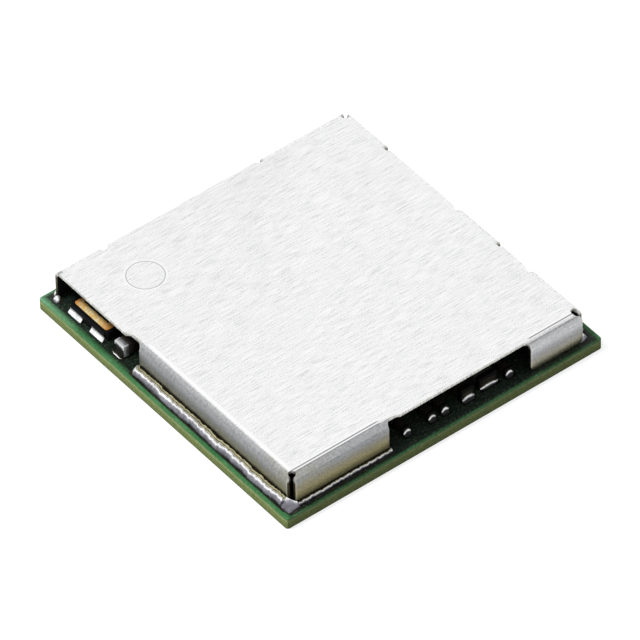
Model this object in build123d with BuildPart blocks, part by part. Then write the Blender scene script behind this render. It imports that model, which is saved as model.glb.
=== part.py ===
from build123d import *
import os

os.makedirs("parts", exist_ok=True)

# Circuit board, with the land grid let flush into its underside
board_x = 13.4
board_y = 13.3
board_thick = 0.46
board_corner = 0.12
land_depth = 0.035
land_pitch = 0.7
lands_on_side = 16
land_long = 0.75
land_wide = 0.4
land_margin = 0.3
ground_land = 1.0
ground_pitch = 1.4
ground_rows = 6
pad_thick = 0.03
seat = board_thick + pad_thick

# Shield can, folded from one sheet: outer size over the flaps
board_margin_x = 0.35
board_margin_y = 0.45
can_x = board_x - 2 * board_margin_x
can_y = board_y - 2 * board_margin_y
can_top = 1.70
sheet = 0.12
bend_radius = 0.25
free_edge_inset = 0.1
corner_slit = 0.24
corner_hole = 0.15
corner_hole_depth = 0.2
flap_corner = 0.2
front_notch = 0.6
right_notch = 0.35
hidden_notch = 0.2
notch_lead = 0.2
notch_round = 0.06
flap_stands_out = 0.1

# Flaps and openings of each side, from left to right as seen from outside
front_opening = 4.62
right_first_flap = 3.86
right_last_flap = 2.14
back_first_flap = 2.36
back_first_opening = 1.85
back_middle_flap = 1.95
back_last_flap = 2.01
left_first_flap = 3.46
left_last_flap = 1.7

# Solder that holds the can, and the pads it wets
front_bead_width = 0.24
front_bead_height = 0.36
right_bead_width = 0.12
right_bead_height = 0.14
back_bead_width = 0.16
back_bead_height = 0.22
bead_bulge = 0.2
pad_rim = 0.02
pad_reach_in = 0.1
corner_pad_spread = 0.2
heap_tip = 0.1
heap_round = 0.12

# Crystal: ceramic base, gilt lid and four tinned terminals
crystal_x = 2.0
crystal_y = 1.6
crystal_base_high = 0.33
crystal_corner = 0.1
crystal_from_left = 0.77
crystal_at = (crystal_from_left + (crystal_x - can_x) / 2, (crystal_y - can_y) / 2)
lid_border = 0.12
lid_thick = 0.05
lid_bevel = 0.015
terminal_wide = 0.68
terminal_long = 0.5
terminal_skin = 0.02
terminal_climb = 0.15
terminal_spacing = 1.18
terminal_spread = 0.05

# Moulded chips on flat lands
radio_size = (5.0, 4.8, 0.6)
radio_at = (0.0, 0.1)
radio_paddle = 3.2
front_end_size = (2.6, 2.4, 0.55)
front_end_at = (can_x / 2 - 2.45, 2.0 - can_y / 2)
front_end_paddle = 1.2
filter_size = (1.4, 1.1, 0.5)
filter_at = (can_x / 2 - 2.05, can_y / 2 - 1.6)
chip_land_long = 0.35
chip_land_wide = 0.25
chip_land_pitch = 0.5
chip_edge = 0.05

# Solder fillets at the ends of the small parts
wedge_spread = 0.14
wedge_climb = 0.7
wedge_hollow = -0.25
cap_skin = 0.015


class ChipParts:
    """A kind of two-ended chip part: its block, its end caps and where it stands."""

    def __init__(self, length, width, height, cap, places):
        self.length = length
        self.width = width
        self.height = height
        self.cap = cap
        self.places = places

    def stands(self):
        return [Location((x, y, seat), (0, 0, turn)) for x, y, turn in self.places]

    def ends(self, reach):
        """Both ends of each part, reach from its middle, each facing outwards."""
        there = [Location((reach, 0, 0)), Location((-reach, 0, 0), (0, 0, 180))]
        return [stand * end for stand in self.stands() for end in there]


# Lines that the small parts stand on
open_line = can_x / 2 - 0.25
left_line = 1.85 - can_x / 2
front_line = 1.6 - can_y / 2
back_line = can_y / 2 - 1.6
below_radio = radio_at[1] - radio_size[1] / 2 - 0.8
above_radio = radio_at[1] + radio_size[1] / 2 + 0.8

# Where each small part stands: x, y and the turn of its long axis
large_capacitor = ChipParts(1.0, 0.5, 0.48, 0.24, [
    (crystal_at[0] + 1.73, 0.5 - can_y / 2, 90),
    (open_line - 0.5, 1.4, 0),
    (left_line, below_radio + 1.1, 0),
    (left_line, below_radio, 0),
    (left_line, above_radio + 0.3, 0),
])
small_capacitor = ChipParts(0.6, 0.3, 0.3, 0.14, [
    (open_line - 0.3, -1.17, 0),
    (open_line - 0.3, -0.12, 0),
    (open_line - 0.3, 0.43, 0),
    (open_line - 0.3, 3.15, 0),
    (radio_at[0] - 2.0, below_radio, 90),
    (radio_at[0] - 1.0, below_radio, 90),
    (radio_at[0], below_radio, 90),
    (radio_at[0] + 1.0, below_radio, 90),
    (radio_at[0] - 2.0, above_radio, 90),
    (radio_at[0] - 1.0, above_radio, 90),
    (radio_at[0], above_radio, 90),
    (radio_at[0] + 1.0, above_radio, 90),
])
resistor = ChipParts(0.6, 0.3, 0.23, 0.14, [
    (radio_at[0] - 1.6, front_line, 90),
    (radio_at[0] - 0.8, front_line, 90),
    (radio_at[0], front_line, 90),
    (filter_at[0] - 2.3, back_line, 90),
    (filter_at[0] - 3.1, back_line, 90),
])
small_inductor = ChipParts(0.6, 0.3, 0.33, 0.16, [
    (front_end_at[0] - 0.6, front_end_at[1] + 2.0, 90),
    (front_end_at[0] + 0.2, front_end_at[1] + 2.0, 90),
    (radio_at[0] + radio_size[0] / 2 + 0.75, 2.6, 0),
])
power_inductor = ChipParts(2.0, 1.6, 0.9, 0.4, [(left_line, 0.6, 90)])
antenna_filter = ChipParts(1.4, 0.75, 0.42, 0.22, [(open_line - 0.8, 2.35, 0)])
chip_families = [
    large_capacitor,
    small_capacitor,
    resistor,
    small_inductor,
    power_inductor,
    antenna_filter,
]

# The four sides of the can: outward direction, half length and distance to the outer face
sides = {
    "front": (-90, can_x / 2, can_y / 2),
    "right": (0, can_y / 2, can_x / 2),
    "back": (90, can_x / 2, can_y / 2),
    "left": (180, can_y / 2, can_x / 2),
}
first_end = {name: corner_slit - half for name, (turn, half, reach) in sides.items()}
last_end = {name: half - corner_slit for name, (turn, half, reach) in sides.items()}
# The left side's last flap runs on to the front's free edge
left_end = can_y / 2 - free_edge_inset

front_start = front_opening - can_x / 2
right_stop = first_end["right"] + right_first_flap
right_start = last_end["right"] - right_last_flap
back_stop = first_end["back"] + back_first_flap
back_middle_start = back_stop + back_first_opening
back_middle_stop = back_middle_start + back_middle_flap
back_start = last_end["back"] - back_last_flap
left_stop = first_end["left"] + left_first_flap
left_start = left_end - left_last_flap

# Each flap: its side, where it starts and stops, how far it stands out, its solder's spread and climb
flaps = [
    ("front", front_start, last_end["front"], 0, front_bead_width, front_bead_height),
    ("right", first_end["right"], right_stop, 0, right_bead_width, right_bead_height),
    ("right", right_start, last_end["right"], flap_stands_out, 0, 0),
    ("back", first_end["back"], back_stop, 0, back_bead_width, back_bead_height),
    ("back", back_middle_start, back_middle_stop, 0, back_bead_width, back_bead_height),
    ("back", back_start, last_end["back"], 0, back_bead_width, back_bead_height),
    ("left", first_end["left"], left_stop, 0, back_bead_width, back_bead_height),
    ("left", left_start, left_end, 0, back_bead_width, back_bead_height),
]
# Each opening between them: its side, where it starts and stops
openings = [
    ("front", bend_radius - can_x / 2, front_start),
    ("right", right_stop, right_start),
    ("back", back_stop, back_middle_start),
    ("back", back_middle_stop, back_start),
    ("left", left_stop, left_start),
]
# Each notch beside a flap: its side, the flap's end, the notch's length and which way it runs
notches = [
    ("front", front_start, front_notch, -1),
    ("right", right_stop, right_notch, 1),
    ("back", back_stop, hidden_notch, 1),
    ("back", back_middle_start, hidden_notch, -1),
    ("back", back_middle_stop, hidden_notch, 1),
    ("back", back_start, hidden_notch, -1),
    ("left", left_stop, hidden_notch, 1),
    ("left", left_start, hidden_notch, -1),
]


def side_plane(side, along, out, height):
    """A plane across the can's wall: x outwards, y up, placed along the side."""
    turn, half, reach = sides[side]
    level = Plane.XY.rotated((0, 0, turn))
    outward = level.x_dir
    across = level.y_dir
    middle = outward * (reach + out) + across * along + Vector(0, 0, height)
    return Plane(origin=middle, x_dir=outward, z_dir=outward.cross(Vector(0, 0, 1)))


def side_place(side, along, out):
    """A place in plan on a side, with its y axis facing outwards."""
    turn, half, reach = sides[side]
    spot = Vector(reach + out, along).rotate(Axis.Z, turn)
    return Location((spot.X, spot.Y), turn - 90)


# Where two flaps' ends face each other across the four corners, with the axes outwards
slit_x = can_x / 2 - corner_slit
slit_y = can_y / 2 - corner_slit
front_corner = Location((slit_x, -slit_y), -90)
right_corner = Location((slit_x, slit_y), 0)
back_corner = Location((-slit_x, slit_y), 90)
left_corner = Location((-slit_x, -left_end), 180)
# The solder in each corner: its spread past the can and its rise
corner_heaps = [
    (front_corner, 0.18, 0.26),
    (right_corner, 0.1, 0.18),
    (back_corner, 0.04, 0.15),
    (left_corner, 0.04, 0.15),
]


def signal_land_outlines():
    inset = 2 * land_margin + land_long
    with GridLocations(land_pitch, board_y - inset, lands_on_side, 2):
        Rectangle(land_wide, land_long)
    with GridLocations(board_x - inset, land_pitch, 2, lands_on_side):
        Rectangle(land_long, land_wide)


def ground_land_outlines():
    with GridLocations(ground_pitch, ground_pitch, ground_rows, ground_rows):
        Rectangle(ground_land, ground_land)


# Board: a laminate with shallow pockets under it for the lands
with BuildPart() as circuit_board:
    with BuildSketch():
        RectangleRounded(board_x, board_y, board_corner)
    extrude(amount=board_thick)
    with BuildSketch():
        signal_land_outlines()
        ground_land_outlines()
    extrude(amount=land_depth, mode=Mode.SUBTRACT)

with BuildPart() as signal_lands:
    with BuildSketch():
        signal_land_outlines()
    extrude(amount=land_depth)

with BuildPart() as ground_lands:
    with BuildSketch():
        ground_land_outlines()
    extrude(amount=land_depth)

# Shield can: the flat plate first, then each flap rolled down from its bend line
with BuildPart() as shield_can:
    with BuildSketch(Plane.XY.offset(can_top - sheet)) as plate:
        Rectangle(can_x - 2 * bend_radius, can_y - 2 * bend_radius)
        tongue_out = bend_radius - free_edge_inset
        for side, start, stop in openings:
            with Locations(side_place(side, (start + stop) / 2, -bend_radius)):
                Rectangle(stop - start, tongue_out, align=(Align.CENTER, Align.MIN))
        for side, end, length, way in notches:
            flat = -way * length
            step = -way * (length + notch_lead)
            with Locations(side_place(side, end, -bend_radius)):
                Polygon((0, 0), (flat, 0), (step, tongue_out), (0, tongue_out), align=None,
                        mode=Mode.SUBTRACT)
        turns = [
            plate.vertices().sort_by_distance(side_place(side, end + way * reach, -inset).position)[0]
            for side, end, length, way in notches
            for reach, inset in ((length, bend_radius), (length + notch_lead, free_edge_inset))
        ]
        fillet(turns, notch_round)
        for side, start, stop, out, spread, climb in flaps:
            if out > 0:
                with Locations(side_place(side, (start + stop) / 2, -bend_radius)):
                    Rectangle(stop - start, out, align=(Align.CENTER, Align.MIN))
    extrude(amount=sheet)
    for side, start, stop, out, spread, climb in flaps:
        with BuildSketch(side_plane(side, (start + stop) / 2, out - bend_radius, 0)):
            with BuildLine():
                Line((0, can_top - sheet), (0, can_top))
                CenterArc((0, can_top - bend_radius), bend_radius, 90, -90)
                Line((bend_radius, can_top - bend_radius), (bend_radius, seat))
                Line((bend_radius, seat), (bend_radius - sheet, seat))
                Line((bend_radius - sheet, seat), (bend_radius - sheet, can_top - bend_radius))
                CenterArc((0, can_top - bend_radius), bend_radius - sheet, 0, 90)
            make_face()
        extrude(amount=(stop - start) / 2, both=True)
        foot = shield_can.edges(Select.LAST).group_by(Axis.Z)[0]
        fillet(foot.sort_by(SortBy.LENGTH)[:2], flap_corner)
    with BuildSketch(Plane.XY.offset(can_top)):
        with Locations(front_corner, right_corner, back_corner):
            Circle(corner_hole)
    extrude(amount=-corner_hole_depth, mode=Mode.SUBTRACT)


def solder_outline(spread, climb, bulge):
    """The outline of solder that stands against a wall, drawn with the lines that are open."""
    Line((0, 0), (spread, 0))
    SagittaArc((spread, 0), (0, climb), -bulge * Vector(spread, climb).length)
    Line((0, climb), (0, 0))


# Pads on the board under the flaps, joined at the can's corners
with BuildPart() as shield_pads:
    with BuildSketch(Plane.XY.offset(board_thick)):
        for side, start, stop, out, spread, climb in flaps:
            inner = -sheet - pad_reach_in
            wide = out + spread + pad_rim - inner
            with Locations(side_place(side, (start + stop) / 2, inner)):
                Rectangle(stop - start, wide, align=(Align.CENTER, Align.MIN))
        for corner, spread, rise in corner_heaps:
            with Locations(corner):
                Rectangle(corner_slit + corner_pad_spread, corner_slit + corner_pad_spread,
                          align=(Align.MIN, Align.MIN))
    extrude(amount=pad_thick)

# Solder seams: a full bead along each flap, turned round its free ends
with BuildPart() as shield_seam_solder:
    for side, start, stop, out, spread, climb in flaps:
        if climb > 0:
            with BuildSketch(side_plane(side, (start + stop) / 2, out, seat)):
                with BuildLine():
                    solder_outline(spread, climb, bead_bulge)
                make_face()
            extrude(amount=(stop - start) / 2, both=True)
            free_ends = []
            if start > first_end[side]:
                free_ends.append((start, -1))
            if stop < last_end[side]:
                free_ends.append((stop, 1))
            for end, turn in free_ends:
                end_plane = side_plane(side, end, out, seat)
                with BuildSketch(end_plane):
                    with BuildLine():
                        solder_outline(spread, climb, bead_bulge)
                    make_face()
                revolve(axis=Axis(end_plane.origin, (0, 0, turn)), revolution_arc=90)

# Solder heaped on the corner pads, highest in the slit between two flaps
with BuildPart() as shield_corner_solder:
    for corner, spread, rise in corner_heaps:
        foot_plane = Plane(corner).offset(seat)
        with BuildSketch(foot_plane) as foot:
            Rectangle(corner_slit + spread, corner_slit + spread, align=(Align.MIN, Align.MIN))
            fillet(foot.vertices().sort_by(Axis((0, 0, 0), corner.position))[-1], heap_round)
        with BuildSketch(foot_plane.offset(rise)):
            Rectangle(heap_tip, heap_tip, align=(Align.MIN, Align.MIN))
        loft()

# Crystal: ceramic base with a castellation down each corner
crystal_seat = seat + terminal_skin
lid_seat = crystal_seat + crystal_base_high
with BuildPart() as crystal_base:
    with BuildSketch(Plane.XY.offset(crystal_seat)):
        with Locations(crystal_at):
            Rectangle(crystal_x, crystal_y)
            with GridLocations(crystal_x, crystal_y, 2, 2):
                Circle(crystal_corner, mode=Mode.SUBTRACT)
    extrude(amount=crystal_base_high)

with BuildPart() as crystal_lid:
    with BuildSketch(Plane.XY.offset(lid_seat)):
        with Locations(crystal_at):
            RectangleRounded(crystal_x - 2 * lid_border, crystal_y - 2 * lid_border, crystal_corner)
    extrude(amount=lid_thick)
    chamfer(crystal_lid.faces().sort_by(Axis.Z)[-1].edges(), lid_bevel)

# Four terminals, each folded from under the base up its outer face
with BuildPart() as crystal_terminals:
    with Locations((crystal_at[0], crystal_at[1], seat)):
        with GridLocations(terminal_spacing, crystal_y + 2 * terminal_skin - terminal_long, 2, 2):
            Box(terminal_wide, terminal_long, terminal_skin, align=(Align.CENTER, Align.CENTER, Align.MIN))
        with GridLocations(terminal_spacing, crystal_y + terminal_skin, 2, 2):
            Box(terminal_wide, terminal_skin, terminal_climb, align=(Align.CENTER, Align.CENTER, Align.MIN))


def moulded_chip(size, middle):
    """A moulded chip with its upper edges taken off."""
    long, wide, high = size
    with BuildPart() as chip:
        with BuildSketch(Plane.XY.offset(seat)):
            with Locations(middle):
                Rectangle(long, wide)
        extrude(amount=high)
        chamfer(chip.faces().sort_by(Axis.Z)[-1].edges(), chip_edge)
    return chip


def chip_lands(size, middle, across, beside, paddle):
    """Lands under a moulded chip: along two edges or all four, and a wide one in the middle."""
    long, wide, high = size
    with BuildPart() as lands:
        with BuildSketch(Plane.XY.offset(board_thick)):
            with Locations(middle):
                with GridLocations(chip_land_pitch, wide - chip_land_long, across, 2):
                    Rectangle(chip_land_wide, chip_land_long)
                if beside > 0:
                    with GridLocations(long - chip_land_long, chip_land_pitch, 2, beside):
                        Rectangle(chip_land_long, chip_land_wide)
                if paddle > 0:
                    Rectangle(paddle, wide - 4 * chip_land_long)
        extrude(amount=pad_thick)
    return lands


radio_chip = moulded_chip(radio_size, radio_at)
radio_chip_lands = chip_lands(radio_size, radio_at, 8, 8, radio_paddle)
front_end_chip = moulded_chip(front_end_size, front_end_at)
front_end_lands = chip_lands(front_end_size, front_end_at, 5, 0, front_end_paddle)
band_filter = moulded_chip(filter_size, filter_at)
band_filter_lands = chip_lands(filter_size, filter_at, 3, 0, 0)


def part_blocks(kind):
    """The blocks of one kind of chip part, a cap's skin smaller all round."""
    with BuildPart() as blocks:
        with Locations(*kind.stands()):
            with Locations((0, 0, cap_skin)):
                Box(kind.length - 2 * cap_skin, kind.width - 2 * cap_skin, kind.height - 2 * cap_skin,
                    align=(Align.CENTER, Align.CENTER, Align.MIN))
    return blocks


def part_caps(kind, blocks):
    """The plated cups over both ends of each block."""
    with BuildPart() as caps:
        with Locations(*kind.ends(kind.length / 2)):
            Box(kind.cap, kind.width, kind.height, align=(Align.MAX, Align.CENTER, Align.MIN))
        add(blocks.part, mode=Mode.SUBTRACT)
    return caps


def solder_wedge(width, spread, climb):
    """A hollow fillet as wide as the end that it stands against, facing along x."""
    with BuildPart() as wedge:
        with BuildSketch(Plane.XZ):
            with BuildLine():
                solder_outline(spread, climb, wedge_hollow)
            make_face()
        extrude(amount=width / 2, both=True)
    return wedge.part


large_capacitor_blocks = part_blocks(large_capacitor)
large_capacitor_caps = part_caps(large_capacitor, large_capacitor_blocks)
small_capacitor_blocks = part_blocks(small_capacitor)
small_capacitor_caps = part_caps(small_capacitor, small_capacitor_blocks)
resistor_blocks = part_blocks(resistor)
resistor_caps = part_caps(resistor, resistor_blocks)
small_inductor_blocks = part_blocks(small_inductor)
small_inductor_caps = part_caps(small_inductor, small_inductor_blocks)
power_inductor_block = part_blocks(power_inductor)
power_inductor_caps = part_caps(power_inductor, power_inductor_block)
antenna_filter_block = part_blocks(antenna_filter)
antenna_filter_caps = part_caps(antenna_filter, antenna_filter_block)

# Places of the crystal's terminals, facing outwards
terminal_places = [
    Location((crystal_at[0] + across * terminal_spacing / 2, crystal_at[1] + out * crystal_y / 2), out * 90)
    for across in (-1, 1)
    for out in (-1, 1)
]

# Pads under every end cap and crystal terminal
with BuildPart() as component_pads:
    with BuildSketch(Plane.XY.offset(board_thick)):
        for kind in chip_families:
            with Locations(*kind.ends(kind.length / 2 + wedge_spread + pad_rim)):
                Rectangle(kind.cap + wedge_spread + pad_rim, kind.width + 2 * pad_rim,
                          align=(Align.MAX, Align.CENTER))
        reach = terminal_skin + terminal_spread + pad_rim
        with Locations(*[place * Location((reach, 0, 0)) for place in terminal_places]):
            Rectangle(terminal_long + reach, terminal_wide + 2 * pad_rim, align=(Align.MAX, Align.CENTER))
    extrude(amount=pad_thick)

wedges = {kind: solder_wedge(kind.width, wedge_spread, wedge_climb * kind.height) for kind in chip_families}
terminal_wedge = solder_wedge(terminal_wide, terminal_spread, terminal_climb)
with BuildPart() as component_solder:
    for kind in chip_families:
        with Locations(*kind.ends(kind.length / 2)):
            add(wedges[kind])
    with Locations(*[place * Location((terminal_skin, 0, seat)) for place in terminal_places]):
        add(terminal_wedge)

pieces = {
    "circuit_board": circuit_board,
    "signal_lands": signal_lands,
    "ground_lands": ground_lands,
    "shield_can": shield_can,
    "shield_pads": shield_pads,
    "shield_seam_solder": shield_seam_solder,
    "shield_corner_solder": shield_corner_solder,
    "crystal_base": crystal_base,
    "crystal_lid": crystal_lid,
    "crystal_terminals": crystal_terminals,
    "radio_chip": radio_chip,
    "radio_chip_lands": radio_chip_lands,
    "front_end_chip": front_end_chip,
    "front_end_lands": front_end_lands,
    "band_filter": band_filter,
    "band_filter_lands": band_filter_lands,
    "antenna_filter_block": antenna_filter_block,
    "antenna_filter_caps": antenna_filter_caps,
    "power_inductor_block": power_inductor_block,
    "power_inductor_caps": power_inductor_caps,
    "large_capacitor_blocks": large_capacitor_blocks,
    "large_capacitor_caps": large_capacitor_caps,
    "small_capacitor_blocks": small_capacitor_blocks,
    "small_capacitor_caps": small_capacitor_caps,
    "resistor_blocks": resistor_blocks,
    "resistor_caps": resistor_caps,
    "small_inductor_blocks": small_inductor_blocks,
    "small_inductor_caps": small_inductor_caps,
    "component_pads": component_pads,
    "component_solder": component_solder,
}
for name, piece in pieces.items():
    piece.part.label = name
    export_step(piece.part, f"parts/{name}.step")
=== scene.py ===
import bmesh
import bpy
import numpy as np
from functools import partial
from mathutils import Matrix, Vector


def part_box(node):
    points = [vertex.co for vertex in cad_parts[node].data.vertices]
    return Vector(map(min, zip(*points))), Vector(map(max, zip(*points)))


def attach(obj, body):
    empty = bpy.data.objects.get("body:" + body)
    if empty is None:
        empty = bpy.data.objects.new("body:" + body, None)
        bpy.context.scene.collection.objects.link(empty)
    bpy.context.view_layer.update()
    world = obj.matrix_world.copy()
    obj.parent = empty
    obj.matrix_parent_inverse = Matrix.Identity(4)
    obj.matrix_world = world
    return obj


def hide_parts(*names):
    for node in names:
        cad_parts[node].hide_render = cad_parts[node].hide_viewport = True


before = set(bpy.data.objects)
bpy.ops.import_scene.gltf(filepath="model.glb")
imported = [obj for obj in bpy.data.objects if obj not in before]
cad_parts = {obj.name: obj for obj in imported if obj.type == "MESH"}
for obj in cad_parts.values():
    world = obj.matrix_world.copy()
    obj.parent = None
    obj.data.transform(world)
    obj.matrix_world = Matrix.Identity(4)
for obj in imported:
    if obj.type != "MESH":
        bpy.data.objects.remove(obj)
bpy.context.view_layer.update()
mm = 0.001   # shapes are worked out in millimetres, and set in the frame's metres
print("frame loaded:", len(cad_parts), "nodes")


def boxOf(node):
    # a CAD node's lowest and highest corner, in millimetres
    low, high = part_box(node)
    return np.array(low) / mm, np.array(high) / mm


def gridFaces(rows, cols, loop=False):
    # each quad joins a place on a row to the next place and to the same two on the row below;
    # loop joins the last column to the first
    r = np.arange(rows - 1)[:, None]
    c = np.arange(cols if loop else cols - 1)[None, :]
    d = (c + 1) % cols
    quads = stacked(r * cols + c, (r + 1) * cols + c, (r + 1) * cols + d, r * cols + d)
    return quads.reshape(-1, 4)


def patch(points, quads=None, rings=(), values=None):
    # one surface: points, four-cornered faces, faces with more corners, and values for each point
    points = np.asarray(points, float).reshape(-1, 3)
    quads = np.zeros((0, 4), int) if quads is None else quads
    values = np.zeros((len(points), 2)) if values is None else values.reshape(len(points), -1)
    return points, quads, rings, values


def stacked(*parts):
    # numbers side by side, each stretched over the same grid
    return np.stack(np.broadcast_arrays(*parts), -1)


def closedGrid(points, values=None, flip=False):
    # a grid whose last column joins its first, with a face over each end; flip turns the grid's faces over
    rows, cols = points.shape[:2]
    quads = gridFaces(rows, cols, loop=True)
    ends = [np.arange(cols), (rows - 1) * cols + np.arange(cols)[::-1]]
    return patch(points, quads[:, ::-1] if flip else quads, ends, values)


def joined(patches):
    # several surfaces as one: points that meet become one, and a quad that loses a corner becomes a triangle
    points = np.concatenate([p[0] for p in patches])
    values = np.concatenate([p[3] for p in patches])
    starts = np.cumsum([0] + [len(p[0]) for p in patches])
    _, first, back = np.unique(np.round(points, 4), axis=0, return_index=True, return_inverse=True)
    back = back.ravel()
    quads = back[np.concatenate([p[1] + start for p, start in zip(patches, starts)]).astype(int)]
    same = quads == np.roll(quads, 1, axis=1)
    faces = quads[~same.any(1)].tolist() + quads[same.sum(1) == 1][~same[same.sum(1) == 1]].reshape(-1, 3).tolist()
    for p, start in zip(patches, starts):
        for ring in p[2]:
            ring = back[np.asarray(ring) + start]
            faces.append(ring[ring != np.roll(ring, 1)].tolist())
    return points[first], [face for face in faces if len(face) > 2], values[first]


def newPiece(name, shape, materials, maps=(), smooth=40):
    # a mesh object from a joined shape; each map takes two of the values as its u and v
    points, faces, values = shape
    mesh = bpy.data.meshes.new(name)
    mesh.from_pydata((points * mm).tolist(), [], faces)
    corner = np.zeros(len(mesh.loops), np.int32)
    mesh.loops.foreach_get("vertex_index", corner)
    for k, mapName in enumerate(maps):
        layer = mesh.uv_layers.new(name=mapName)
        layer.data.foreach_set("uv", values[corner, 2 * k:2 * k + 2].astype(np.float32).ravel())
    mesh.validate()
    mesh.shade_smooth()
    mesh.set_sharp_from_angle(angle=np.radians(smooth))
    piece = bpy.data.objects.new(name, mesh)
    bpy.context.scene.collection.objects.link(piece)
    for material in materials:
        mesh.materials.append(material)
    return piece


def applied(piece):
    # the piece's modifiers are made part of its mesh
    graph = bpy.context.evaluated_depsgraph_get()
    mesh = bpy.data.meshes.new_from_object(piece.evaluated_get(graph), preserve_all_data_layers=True, depsgraph=graph)
    piece.modifiers.clear()
    old = piece.data
    piece.data = mesh
    bpy.data.meshes.remove(old)
    mesh.name = piece.name


def placed(piece, node):
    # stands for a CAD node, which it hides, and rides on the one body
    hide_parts(node)
    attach(piece, "root")
    work = bmesh.new()
    work.from_mesh(piece.data)
    print(f"{piece.name}: {len(work.faces)} faces, {work.calc_volume(signed=True) / mm ** 3:.3f} cubic mm")
    work.free()


def dressed(nodes, material):
    # a CAD node that keeps its shape gets the material in its material slots
    for node in nodes:
        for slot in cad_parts[node].material_slots:
            slot.material = material


def linear(hexColour):
    # an sRGB hex colour as linear red, green and blue
    c = np.array([int(hexColour[i:i + 2], 16) for i in (1, 3, 5)]) / 255
    c = np.where(c <= 0.04045, c / 12.92, ((c + 0.055) / 1.055) ** 2.4)
    return (*[float(v) for v in c], 1.0)


def feed(node, inputs):
    # sets a node's inputs: a socket is linked, a hex colour is made linear, and all else is set as it is
    for name, value in inputs.items():
        if isinstance(value, bpy.types.NodeSocket):
            node.id_data.links.new(value, node.inputs[name])
        else:
            node.inputs[name].default_value = linear(value) if isinstance(value, str) else value


# the inputs that a list fills and the output that is given, for nodes where these aren't simply the first ones
nodeSockets = {
    "TexNoise": (("Vector", "Scale", "Detail", "Roughness"), 0), "Bump": (("Height", "Distance", "Strength"), 0),
    "Mapping": (("Vector", "Scale"), 0), "VectorMath SCALE": ((0, "Scale"), 0), "VectorMath DISTANCE": ((0, 1), 1),
    "Mix FLOAT": ((0, 2, 3), 0), "Mix RGBA": ((0, 6, 7), 2),
}


def addNode(tree, kind, inputs=(), out=None, stops=(), **settings):
    # adds a node with its settings, inputs and colour stops; its kind's second word is its operation or data type,
    # and a kind in capitals is an operation of the math node
    names, result = nodeSockets.get(kind, (range(len(inputs)), 0))
    kind, _, mode = ("Math " * kind.isupper() + kind).partition(" ")
    node = tree.nodes.new("ShaderNode" + kind)
    if mode:
        setattr(node, "data_type" if kind == "Mix" else "operation", mode)
    for name, value in settings.items():
        setattr(node, name, value)
    if stops:
        ramp = node.color_ramp.elements
        while len(ramp) < len(stops):
            ramp.new(0.5)
        for element, (place, colour) in zip(ramp, stops):
            element.position = place
            element.color = linear(colour)
    feed(node, inputs if isinstance(inputs, dict) else dict(zip(names, inputs)))
    return node.outputs[result if out is None else out] if len(node.outputs) else node


def surfaced(material, **surface):
    # sets or links the inputs of the material's shader
    shader = material.node_tree.nodes["Principled BSDF"]
    feed(shader, {socket.replace("_", " "): value for socket, value in surface.items()})
    return material


def newMaterial(name, **surface):
    # a material, with what is the same all over it, and its way to add nodes
    material = bpy.data.materials.new(name)
    material.use_nodes = True
    return surfaced(material, **surface), partial(addNode, material.node_tree)


def finished(material, colour, height, deep, strength, **surface):
    # gives the material its colour and a shallow relief, deep in millimetres
    bump = addNode(material.node_tree, "Bump", [height, deep * mm, strength])
    return surfaced(material, Base_Color=colour, Normal=bump, **surface)


def millimetres(add):
    # the place on the object, in millimetres
    return add("Mapping", [add("TexCoord", out="Object"), (1 / mm,) * 3])


def cornerTurns(steps):
    # the turns of a shape's four round corners, with the sign of each corner's x and y
    turn = np.radians(np.linspace(0, 90, steps))[None, :] + np.radians([0, 90, 180, 270])[:, None]
    return turn.ravel(), np.repeat([1, -1, -1, 1], steps), np.repeat([1, 1, -1, -1], steps)


# the shield can: one brushed sheet with flaps folded down on all four sides

shieldCan = {
    "sheet": 0.12, "bendRadius": 0.25, "reliefHole": 0.14, "slitCloses": 0.055, "slitLead": 0.12, "flapCorner": 0.2,
    "flareLong": 0.22, "leadLeast": 0.12, "leadSlope": 0.4, "arris": 0.014, "bendSteps": 14, "wallSteps": 6,
    "footSteps": 7, "step": 0.12, "standOut": 0.1,
}
canLow, canHigh = boxOf("shield_can")
canFoot, canTop = canLow[2], canHigh[2]
halfX, halfY = -canLow[:2]
bendRadius = shieldCan["bendRadius"]
bendLong = bendRadius * np.pi / 2
wallHigh = canTop - bendRadius - canFoot
# each side: the way it faces in degrees, half its length, and how far out it lies
canSides = {"front": (-90, halfX, halfY), "right": (0, halfY, halfX), "back": (90, halfX, halfY),
    "left": (180, halfY, halfX)}
# how far the flat plate reaches, and where the flaps end along each side, from its middle
plateX, plateY = halfX - bendRadius, halfY - bendRadius
frontEnd, rightEnds, backEnds, leftEnds = -1.73, (-2.1, 3.8), (-3.75, -1.9, 0.05, 4.1), (-2.5, 4.4)
# the kinds of end that a flap has: a relief hole at a corner, a plain cut, or a root that flares into the plate;
# a flare is (how far out the notch's floor lies, how wide the root spreads)
relief, plain = "relief", "plain"
frontRoot, rightRoot, standRoot, hiddenRoot = (0.08, 0.22), (0.03, 0.16), (0.0, 0.1), (0.0, 0.05)
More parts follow.
